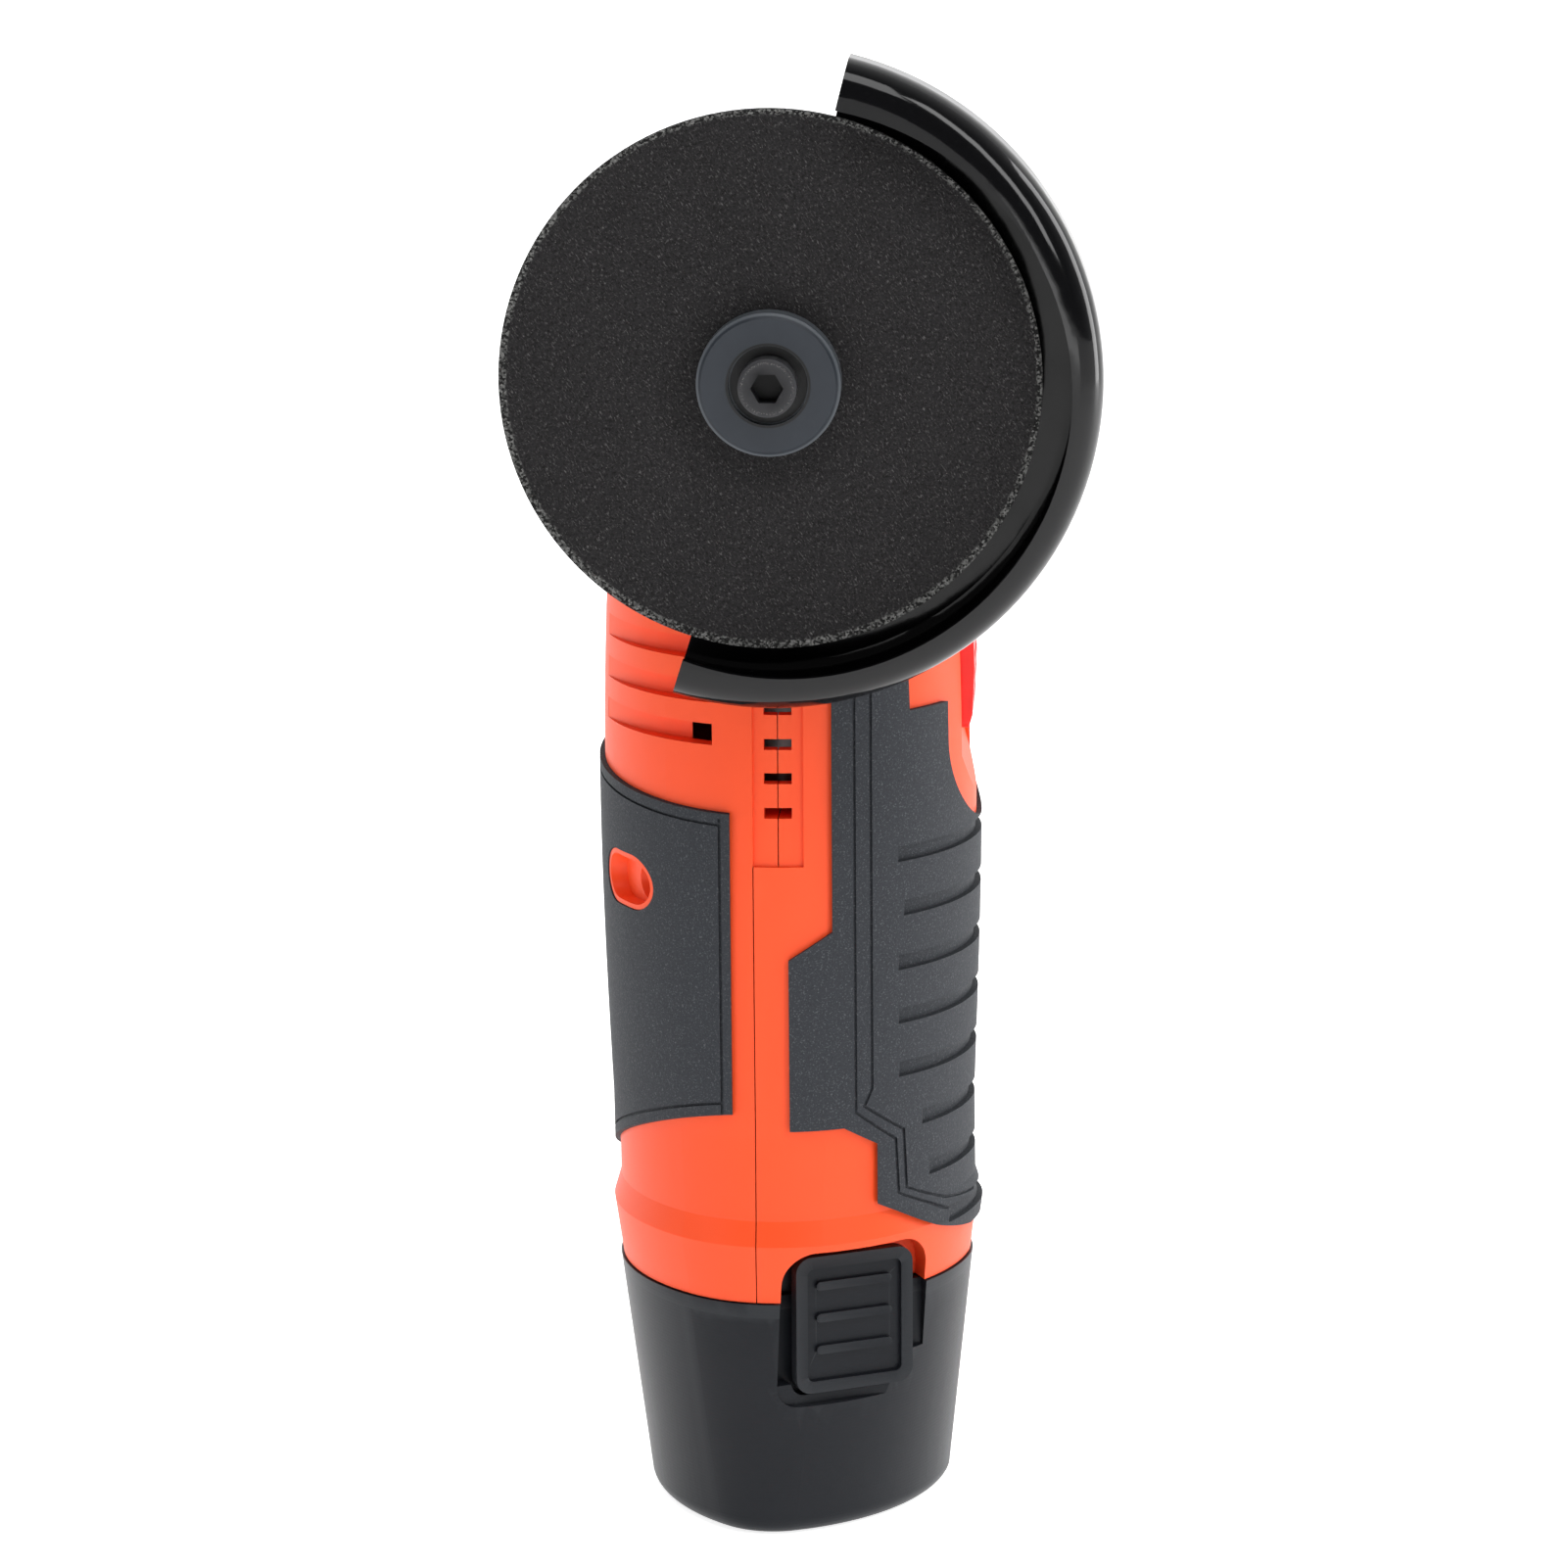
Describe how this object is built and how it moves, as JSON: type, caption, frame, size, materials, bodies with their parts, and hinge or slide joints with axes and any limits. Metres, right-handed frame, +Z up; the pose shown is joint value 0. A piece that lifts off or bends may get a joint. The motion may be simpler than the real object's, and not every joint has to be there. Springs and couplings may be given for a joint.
{
  "type": "cordless angle grinder",
  "caption": "Compact battery angle grinder with a stick body, half-round wheel guard, abrasive disc, side slide switch and slide-in battery pack.",
  "frame": {"origin": "centre of the flat base of the battery pack", "axes": "+Z up along the body, -Y from the body towards the disc, +X the side with the slide switch"},
  "size_m": [0.0845, 0.0743, 0.2206],
  "materials": {
    "orange_plastic": "fine satin moulding texture",
    "grip_rubber": "fine speckled matt overmould",
    "dark_steel": "dark zinc",
    "red_plastic": "satin",
    "black_plastic": "matt",
    "circuit_board": "solder mask",
    "bright_steel": "turned",
    "copper_wire": "varnished copper",
    "case_metal": "die cast, black coated",
    "flange_metal": "satin blue-grey coating",
    "disc_abrasive": "resin bonded fibre disc with a gritty rim",
    "black_screw": "black oxide",
    "guard_paint": "glossy black paint",
    "pack_plastic": "satin",
    "cell_sleeve": "shrink sleeve",
    "contact_brass": "plated"
  },
  "bodies": {
    "housing": {"left_housing_shell": "orange_plastic", "right_housing_shell": "orange_plastic", "left_grip": "grip_rubber", "right_grip": "grip_rubber", "housing_screws": "dark_steel", "power_switch": "black_plastic", "control_board": "circuit_board", "terminal_block": "black_plastic", "motor_can": "dark_steel", "stator_core": "dark_steel", "stator_coils": "copper_wire", "motor_end_cap": "black_plastic", "motor_rear_bearing": "bright_steel", "motor_front_bearing": "bright_steel", "gear_housing": "case_metal", "gear_housing_screws": "dark_steel", "bearing_cover": "case_metal", "bearing_cover_screws": "dark_steel", "spindle_front_bearing": "bright_steel", "spindle_rear_bearing": "bright_steel", "spindle_lock_spring": "bright_steel"},
    "rotor": {"motor_shaft": "bright_steel", "rotor_core": "dark_steel", "rotor_magnets": "dark_steel", "cooling_fan": "black_plastic", "pinion_gear": "bright_steel"},
    "spindle": {"spindle": "bright_steel", "driven_gear": "bright_steel", "spindle_circlip": "dark_steel", "inner_flange": "flange_metal", "cutting_disc": "disc_abrasive", "outer_flange": "flange_metal", "flange_screw": "black_screw"},
    "guard": {"wheel_guard": "guard_paint", "guard_clamp_band": "bright_steel", "guard_clamp_screw": "dark_steel"},
    "switch": {"slide_switch_knob": "red_plastic", "switch_rod": "black_plastic"},
    "spindle_lock": {"spindle_lock_pin": "bright_steel", "spindle_lock_button": "black_plastic"},
    "battery": {"battery_case": "pack_plastic", "battery_stem": "pack_plastic", "battery_cells": "cell_sleeve", "battery_board": "circuit_board", "battery_contacts": "contact_brass"},
    "latch_front": {"latch_button_front": "pack_plastic"},
    "latch_back": {"latch_button_back": "pack_plastic"}
  },
  "joints": [
    {"name": "spindle_spin", "type": "hinge", "parent": "housing", "child": "spindle", "pos_m": [0, -0.0388, 0.1755], "axis": [0, 1, 0], "continuous": true},
    {"name": "rotor_spin", "type": "hinge", "parent": "housing", "child": "rotor", "pos_m": [0, 0, 0.125], "axis": [0, 0, 1], "continuous": true},
    {"name": "guard_turn", "type": "hinge", "parent": "housing", "child": "guard", "pos_m": [0, -0.026, 0.1755], "axis": [0, 1, 0], "range_deg": [-60, 60]},
    {"name": "switch_slide", "type": "slide", "parent": "housing", "child": "switch", "axis": [0, 0, 1], "range_m": [0, 0.005]},
    {"name": "spindle_lock_press", "type": "slide", "parent": "housing", "child": "spindle_lock", "axis": [0, -1, 0], "range_m": [0, 0.002], "stiffness_N_per_m": 400},
    {"name": "battery_slide", "type": "slide", "parent": "housing", "child": "battery", "axis": [0, 0, -1], "range_m": [0, 0.055]},
    {"name": "latch_front_press", "type": "slide", "parent": "battery", "child": "latch_front", "axis": [-0.4384, 0.8988, 0], "range_m": [0, 0.0015], "stiffness_N_per_m": 600},
    {"name": "latch_back_press", "type": "slide", "parent": "battery", "child": "latch_back", "axis": [0.2419, -0.9703, 0], "range_m": [0, 0.0015], "stiffness_N_per_m": 600}
  ],
  "couplings": [
    {"joint": "rotor_spin", "follows": "spindle_spin", "ratio": 2}
  ]
}
